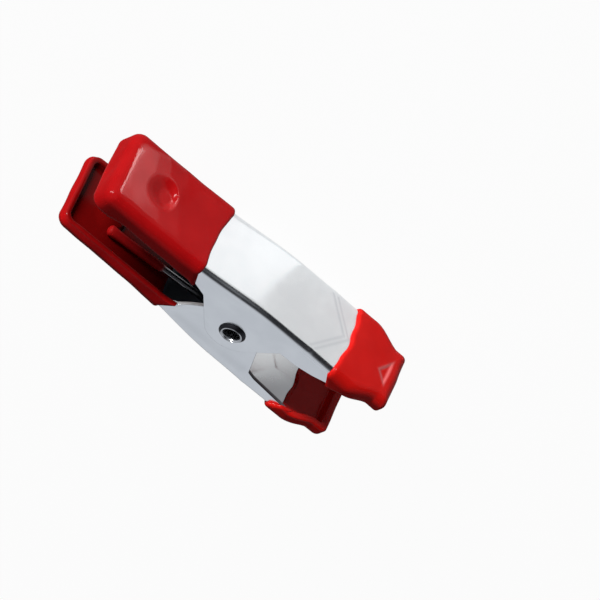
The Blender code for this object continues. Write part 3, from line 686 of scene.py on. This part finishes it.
def makeCoat(name, material, half, handle):
    # A sock: outer and inner skins joined by a round bead along the flange edges, and a thin slot that the
    # sheet fills
    s = coatLook
    skins = coatSkins(name, rims[half], s["seed"][half], handle)
    points, faces, edges, cuts, count = [], [], [], [], 0
    for skin in skins:
        points.append(skin["points"])
        faces += [skin["web"] + count, wallQuads(skin, False) + count]
        edges.append(skin["edge"] + count)
        cuts.append(skin["cut"] + count)
        count += len(skin["points"])
    points = np.concatenate(points)
    outer, inner = points[edges[0]], points[edges[1]]
    fromEdge = np.abs(outer[:, 0] - s["edge"][name])
    depth = s["bead"] * np.interp(fromEdge, [0.0, s["beadRun"]], [s["beadStart"], 1.0])[None, :, None]
    bead, across = edgeArc(outer, inner, depth, s["beadSteps"], s["beadPower"])
    index = count + np.arange(bead[..., 0].size).reshape(bead.shape[:2])
    loops = np.vstack([edges[0][None], index, edges[1][None]])
    faces += [quadsOf(loops), quadsOf(np.vstack([edges[2], edges[3]])),
              quadsOf(np.vstack([cuts[0], cuts[2]])), quadsOf(np.vstack([cuts[1], cuts[3]]))]
    ends = [np.concatenate([loops[:, k], [edges[3][k], edges[2][k]]]).tolist() for k in (0, -1)]
    points = np.concatenate([points, bead.reshape(-1, 3)])
    # Marks for the finish: walls are duller than the web, the bends and the rim, the inside of a grip carries
    # painted shade, up over the bead, and the dent on a tip has a painted highlight round its outline
    hoops = skins[0]["ring"]
    sheen, paintedInnerShade, paintedHighlight = np.ones(len(points)), np.zeros(len(points)), np.zeros(len(points))
    wall = s["wallSheen"]
    sheen[hoops] = np.interp(np.linspace(0.0, 1.0, len(hoops)), s["sheenAt"], [1.0, wall, wall, 1.0])[:, None]
    # Painted shade on a grip's inner skin and over its bead; a painted highlight round a tip's dent
    if handle:
        paintedInnerShade[len(skins[0]["points"]):] = 1.0
        paintedInnerShade[index] = across[:, :, 0] ** s["shadeCurve"]
    else:
        web = slice(0, skins[0]["stations"] * press["columns"])
        fromSide = dentInside(points[web, 0], points[web, 2])
        paintedHighlight[web] = s["dentPaintedHighlight"] * np.exp(-(fromSide / s["paintedHighlightWidth"]) ** 2)
    return makeObject(name, points, np.concatenate(faces).tolist() + ends, material, half == "lower",
                      marks={"paintedHighlight": paintedHighlight, "sheen": sheen, "paintedInnerShade": paintedInnerShade})


for name, node, material, handle in (("Grip", "grip", gripRed, True), ("JawTip", "jaw_tip", tipRed, False)):
    for side in ("upper", "lower"):
        item = makeCoat(side + name, material, side, handle)
        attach(item, side + "_half")
        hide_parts(side + "_" + node)
print("vinyl made")

# Hollow rivet
rivet = {
    "barrel": 2.9, "bore": 2.35, "lip": 3.9, "crest": 2.95, "crestRound": 0.14, "proud": 1.12, "seat": 0.06,
    "fillet": 0.05, "lipUnder": 0.08, "lipEdge": 0.12, "lipSwell": 0.12, "funnel": 1.6,
    "uneven": ((0.006, 3, 0.7), (0.004, 7, 0.0)), "unevenFrom": 0.1,  # size, waves, phase
    "slopeSteps": 8, "arcSteps": 10, "sides": 96,
}


def makeRivet():
    # Half section spun round the pivot: straight barrel, lip that slopes up to a round crest, flared mouth
    s = rivet
    seat, high, small = press["halfWidth"] + s["seat"], press["halfWidth"] + s["proud"], s["crestRound"]
    turn = np.linspace(math.pi / 4, math.pi, s["arcSteps"])
    crest = np.stack([s["crest"] + small * np.cos(turn), high - small + small * np.sin(turn)], axis=1)
    t = np.linspace(0.0, 1.0, s["slopeSteps"])[:-1, None]
    slope = np.array([s["lip"], seat + s["lipEdge"]]) * (1 - t) + crest[0] * t + s["lipSwell"] * t * (1 - t)
    funnel = np.linspace(0.0, math.pi / 2, s["arcSteps"])[1:]
    mouth = np.stack([s["bore"] + (crest[-1, 0] - s["bore"]) * (1 - np.sin(funnel)),
                      crest[-1, 1] - s["funnel"] * (1 - np.cos(funnel))], axis=1)
    barrel = [[s["barrel"], 0.0], [s["barrel"], seat - s["fillet"]], [s["barrel"] + s["fillet"], seat],
              [s["lip"] - s["lipUnder"], seat]]
    half = np.concatenate([barrel, slope, crest, mouth, [[s["bore"], 0.0]]])
    profile = np.concatenate([half, half[-2:0:-1] * [1.0, -1.0]])
    spin = np.linspace(0.0, math.tau, s["sides"], endpoint=False)
    uneven = 1 + sum(size * np.sin(waves * spin + phase) for size, waves, phase in s["uneven"])
    away = profile[:, 0, None]
    r = away * np.where(away > s["barrel"] + s["unevenFrom"], uneven[None], 1.0)
    points = np.stack([r * np.cos(spin), r * np.sin(spin), profile[:, 1, None] + 0 * r], axis=2)
    index = np.arange(r.size).reshape(r.shape)
    faces = quadsOf(np.vstack([index, index[:1]]), wrap=True)
    # The lip's outer flank gets the darker tone: a painted dark reflection
    flank = (profile[:, 0] > s["crest"] + small) & (np.abs(profile[:, 1]) > press["halfWidth"])
    return makeObject("pivotRivet", points.reshape(-1, 3), faces.tolist(), rivetSteel, sharp=50.0,
                      marks={"darkened": np.repeat(flank * 1.0, s["sides"])})


item = makeRivet()
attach(item, "lower_half")
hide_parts("pivot_rivet")
print("rivet made")

# Torsion spring
spring = {
    "wire": 2.0, "turns": 3, "gap": 0.55, "clearance": 0.9, "legClearance": 0.5, "legEnd": -41.5,
    "dipFrom": -23.0, "dipRun": 3.0, "dipFade": 1.5, "dipThick": 0.35, "dipBlob": 0.25, "blobRun": 2.5,
    "domeStart": 0.15, "domeSteps": 6, "domeLength": 1.1, "pointsPerTurn": 44, "legPoints": 40, "sides": 16,
}


def makeSpring():
    # One wire: a leg under the lower handle, a helix round the rivet, a leg under the upper handle. Round the
    # path run circles square to it, wider where vinyl coats the legs, and each end closes on a dome.
    s = spring
    radius = rivet["barrel"] + s["clearance"] + s["wire"] / 2
    inside = float(webHeight(np.float64(s["legEnd"]), np.float64(flat))) - press["sheet"] - coatLook["inside"]
    tip = np.array([s["legEnd"], inside - s["legClearance"] - s["wire"] / 2])
    touch = math.atan2(tip[1], tip[0]) - math.acos(radius / np.hypot(*tip))
    sweep = 2 * touch + math.tau * s["turns"]
    turn = np.linspace(0.0, sweep, round(sweep / math.tau * s["pointsPerTurn"]) + 1)
    height = (s["wire"] + s["gap"]) * sweep / math.tau
    coil = np.stack([radius * np.cos(turn - touch), radius * np.sin(turn - touch),
                     height * (0.5 - turn / sweep)], axis=1)
    share = np.linspace(1.0, 0.0, s["legPoints"])[:-1, None]
    low = coil[0] + (np.array([tip[0], -tip[1], height / 2]) - coil[0]) * share
    high = coil[-1] + (np.array([tip[0], tip[1], -height / 2]) - coil[-1]) * share[::-1]
    path = np.concatenate([low, coil, high])
    along = np.gradient(path, axis=0)
    along /= np.linalg.norm(along, axis=1)[:, None]
    side = np.cross(along, [0.0, 0.0, 1.0])
    side /= np.linalg.norm(side, axis=1)[:, None]
    upward = np.cross(side, along)
    dome = np.linspace(s["domeStart"], math.pi / 2, s["domeSteps"])
    size = np.full(len(path), s["wire"] / 2)
    size *= (1 + s["dipThick"] * ease((s["dipFrom"] - path[:, 0]) / s["dipRun"])
             + s["dipBlob"] * np.exp(-((path[:, 0] - s["legEnd"]) / s["blobRun"]) ** 2))
    size = np.concatenate([size[0] * np.sin(dome[:-1]), size, size[-1] * np.sin(dome[-2::-1])])
    back = s["domeLength"] * np.cos(dome[:-1])[:, None]
    path = np.concatenate([path[0] - back * along[0], path, path[-1] + back[::-1] * along[-1]])
    pad = len(dome) - 1
    side = np.pad(side, ((pad, pad), (0, 0)), mode="edge")
    upward = np.pad(upward, ((pad, pad), (0, 0)), mode="edge")
    spin = np.linspace(0.0, math.tau, s["sides"], endpoint=False)
    points = path[:, None] + size[:, None, None] * (np.cos(spin)[None, :, None] * side[:, None]
                                                    + np.sin(spin)[None, :, None] * upward[:, None])
    index = np.arange(points[..., 0].size).reshape(points.shape[:2])
    faces = quadsOf(index, wrap=True).tolist() + [index[0].tolist(), index[-1].tolist()]
    dipped = ease((s["dipFrom"] - points[..., 0].ravel()) / s["dipFade"])
    item = makeObject("torsionSpring", points.reshape(-1, 3), faces, springSteel, sharp=60.0,
                      marks={"dipped": dipped})
    return item, height


item, height = makeSpring()
tuple(pivot + [0.0, 0.0, height / 2 * mm])
tuple(pivot - [0.0, 0.0, height / 2 * mm])
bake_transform(item)
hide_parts("torsion_spring")
print("spring made")

# Floor and light, in metres. The camera sees the floor almost plain white, with only a trace of shadow, and
# shiny pieces see it partly so. The lamp stands low on the handle side. Reflections show a dark sky with four
# soft boxes, and all else gets a weak even light.
studio = {
    "floorSize": 3.0, "floorDrop": 0.00005, "floor": (0.90, 0.90, 0.90), "floorRoughness": 0.9,
    "floorShine": 0.1, "seenGlow": 0.96, "shinyGlow": 0.62,
    "ambient": (0.12, 0.12, 0.125), "skyDark": (0.015, 0.015, 0.018), "skyBright": (0.53, 0.55, 0.59),
    "skyBoxes": (((0.33, -0.62, 0.70), 0.53, 0.93), ((-0.55, 0.65, 0.52), 0.69, 0.96),  # direction, band
                 ((0.9, 0.1, 0.42), 0.78, 0.97), ((-0.8, -0.4, 0.45), 0.6, 0.95)),
    "key": {"place": (-0.82, 0.58, 0.10), "aim": (0.0, 0.0, 0.012), "size": (0.5, 0.14), "power": 13.5},
    "panelStep": 0.0002, "liesFlat": 0.95,
}
# Panels that lie on the floor, face up, and only show in reflections: centre, size, turn, brightness
panels = {"wide": ((-0.007, 0.045), (0.034, 0.056), 0.0, 0.27),
          "line": ((-0.0428, 0.037), (0.006, 0.031), -15.0, 28.0),
          "patch": ((-0.0365, 0.0315), (0.007, 0.030), -29.0, 3.4),
          "halo": ((-0.0355, 0.031), (0.012, 0.034), -29.0, 2.4),
          "rim": ((-0.0335, 0.031), (0.019, 0.038), -29.0, 0.6)}


def raysOf(place):
    # Whether a ray comes from the camera, and from a reflection
    seen = place.node("ShaderNodeLightPath", output="Is Camera Ray")
    return seen, Sock(place.tree, seen.socket.node.outputs["Is Glossy Ray"])


def makeFloor():
    # A square just under the object, mixed from a lit surface and a plain glow
    size = studio["floorSize"]
    corners = ((-size, -size), (size, -size), (size, size), (-size, size))
    mesh = bpy.data.meshes.new("floor")
    mesh.from_pydata([(*corner, -studio["floorDrop"]) for corner in corners], [], [[0, 1, 2, 3]])
    item = bpy.data.objects.new("floor", mesh)
    bpy.context.scene.collection.objects.link(item)
    material, place, _ = newMaterial("paleFloor", {"Roughness": studio["floorRoughness"],
                                                   "Base Color": (*studio["floor"], 1.0),
                                                   "Specular IOR Level": studio["floorShine"]})
    tree = material.node_tree
    seen, shiny = raysOf(place)
    glow = place.node("ShaderNodeEmission", None, {"Color": (1.0, 1.0, 1.0, 1.0), "Strength": 1.0})
    lit = Sock(tree, tree.nodes["Principled BSDF"].outputs[0])
    share = seen * studio["seenGlow"] + shiny * studio["shinyGlow"]
    both = place.node("ShaderNodeMixShader", None, {0: share, 1: lit, 2: glow})
    tree.links.new(both.socket, tree.nodes["Material Output"].inputs["Surface"])
    mesh.materials.append(material)


def addLamp(name, place, aim, size, power, turn=0.0, shineOnly=False):
    # A rectangle of light at a place, facing its aim. One that lies flat is turned about the vertical.
    lamp = bpy.data.lights.new(name, 'AREA')
    lamp.shape = 'RECTANGLE'
    lamp.size, lamp.size_y = size
    lamp.energy = power
    item = bpy.data.objects.new(name, lamp)
    back = np.array(place) - np.array(aim)
    back /= np.linalg.norm(back)
    angle = math.radians(turn)
    upright = abs(back[2]) < studio["liesFlat"]
    side = np.cross([0.0, 0.0, 1.0] if upright else [-math.sin(angle), math.cos(angle), 0.0], back)
    side /= np.linalg.norm(side)
    item.matrix_world = Matrix((*zip(side, np.cross(back, side), back, place), (0, 0, 0, 1)))
    item.visible_camera = False
    item.visible_diffuse = not shineOnly
    bpy.context.scene.collection.objects.link(item)


def makeWorld():
    # White for the camera, dark with soft boxes for reflections, an even grey for the rest
    world = bpy.data.worlds.new("studio")
    bpy.context.scene.world = world
    world.use_nodes = True
    tree = world.node_tree
    toward = Sock(tree, tree.nodes.new("ShaderNodeTexCoord").outputs["Generated"])
    glow = 0.0
    for direction, low, high in studio["skyBoxes"]:
        side = toward.node("ShaderNodeVectorMath", {"operation": 'DOT_PRODUCT'},
                           {0: toward, 1: direction}, output="Value")
        glow = side.ramp(low, high) + glow
    sky = glow.mixed(studio["skyDark"], studio["skyBright"])
    seen, shiny = raysOf(toward)
    colour = seen.mixed(shiny.mixed(studio["ambient"], sky), (1.0, 1.0, 1.0))
    tree.links.new(colour.socket, tree.nodes["Background"].inputs["Color"])


makeFloor()
makeWorld()
addLamp("key", **studio["key"])
for k, (name, (centre, size, turn, bright)) in enumerate(panels.items()):
    addLamp(name, (*centre, studio["panelStep"] * (k + 1)), (*centre, 1.0), size,
            bright * math.pi * size[0] * size[1], turn, shineOnly=True)
scene = bpy.context.scene
scene.view_settings.view_transform = 'Standard'

# Camera, fitted to the photograph: its axes, and where the pivot lies along them in millimetres
view = {"focalPixels": 4826.9, "imageWidth": 600, "sensor": 36.0, "farthest": 20.0,
        "offset": (-14.5432, 0.3764, 1317.4316), "right": (0.707872, 0.617627, -0.342708),
        "down": (0.59957, -0.268924, 0.753785), "ahead": (0.373403, -0.739069, -0.560679)}
axes = np.array([view["right"], view["down"], view["ahead"]])
spot = pivot - axes.T @ np.array(view["offset"]) * mm
lens = bpy.data.cameras.new("camera")
lens.sensor_width = view["sensor"]
lens.lens = view["focalPixels"] * view["sensor"] / view["imageWidth"]
lens.clip_end = view["farthest"]
camera = bpy.data.objects.new("camera", lens)
camera.matrix_world = Matrix((*zip(axes[0], -axes[1], -axes[2], spot), (0, 0, 0, 1)))
scene.collection.objects.link(camera)
scene.camera = camera
print("stage set")
